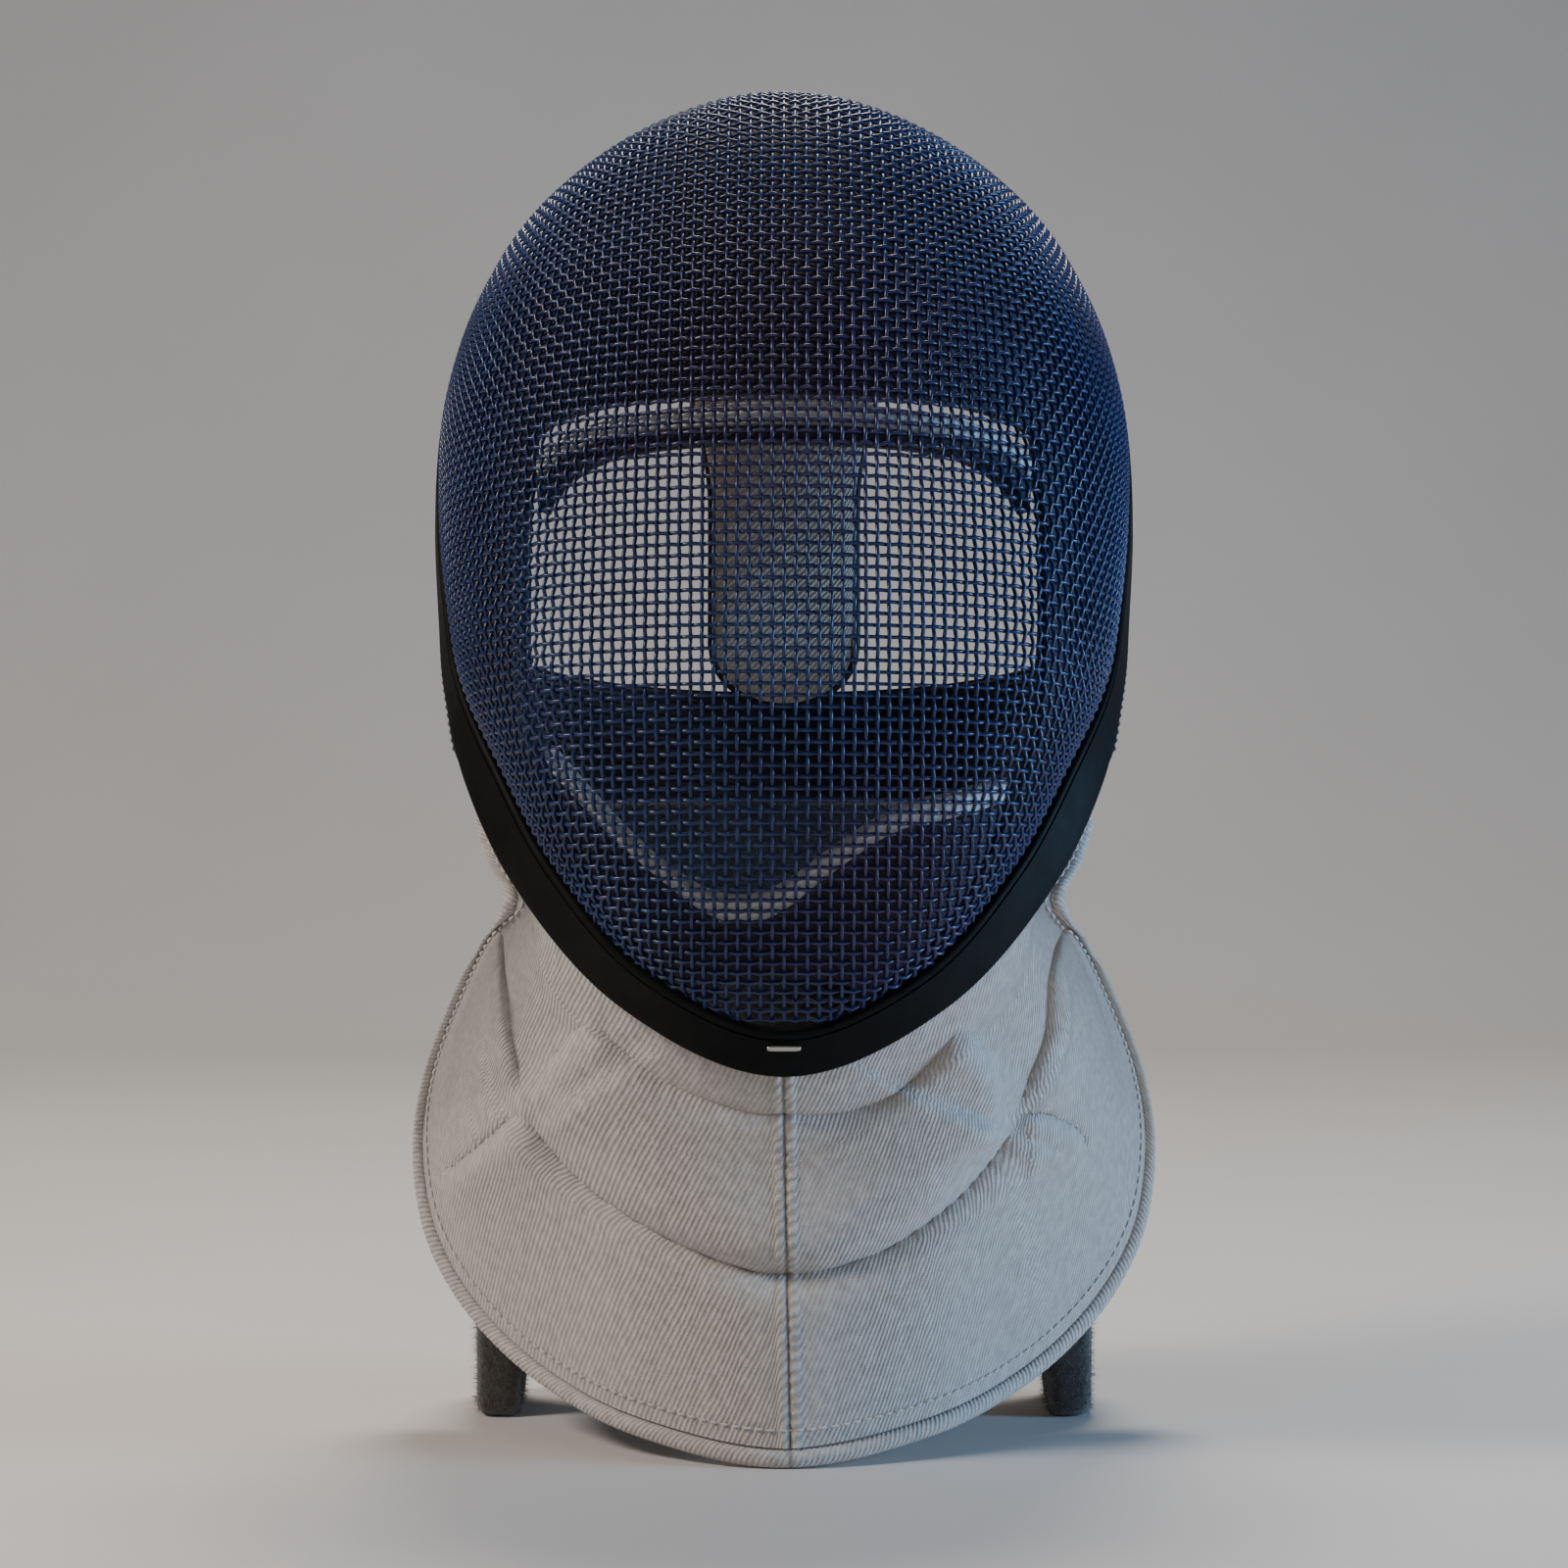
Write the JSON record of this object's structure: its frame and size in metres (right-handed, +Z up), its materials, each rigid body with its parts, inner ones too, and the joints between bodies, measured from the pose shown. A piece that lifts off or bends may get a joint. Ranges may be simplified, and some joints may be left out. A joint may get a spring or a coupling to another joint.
{
  "type": "fencing mask on a stand",
  "caption": "Fencing mask on a plain felt stand: navy woven wire dome, black trim, off-white twill bib with a rolled hem, padded lining, wide back strap and rear tongue.",
  "frame": {"origin": "on the table, under the middle of the whole", "axes": "+Z up, the mask looks along -Y, +X to its wearer's left"},
  "size_m": [0.2374, 0.1913, 0.424],
  "materials": {
    "navy_wire": "satin coated",
    "black_trim": "matt",
    "white_twill": "twill weave",
    "navy_pad": "plain weave over foam",
    "pale_edging": "woven tape",
    "navy_elastic": "ribbed elastic",
    "grey_pad": "plain weave over foam",
    "pale_metal": "satin",
    "grey_felt": "felt"
  },
  "bodies": {
    "root": {"mesh_dome": "navy_wire", "frame_trim": "black_trim", "bib": "white_twill", "bib_hem": "white_twill", "lining_pad": "navy_pad", "brow_binding": "pale_edging", "chin_pad": "navy_pad", "chin_binding": "pale_edging", "back_strap": "navy_elastic", "rear_tongue": "grey_pad", "rim_bar": "pale_metal", "stand": "grey_felt"}
  },
  "joints": []
}
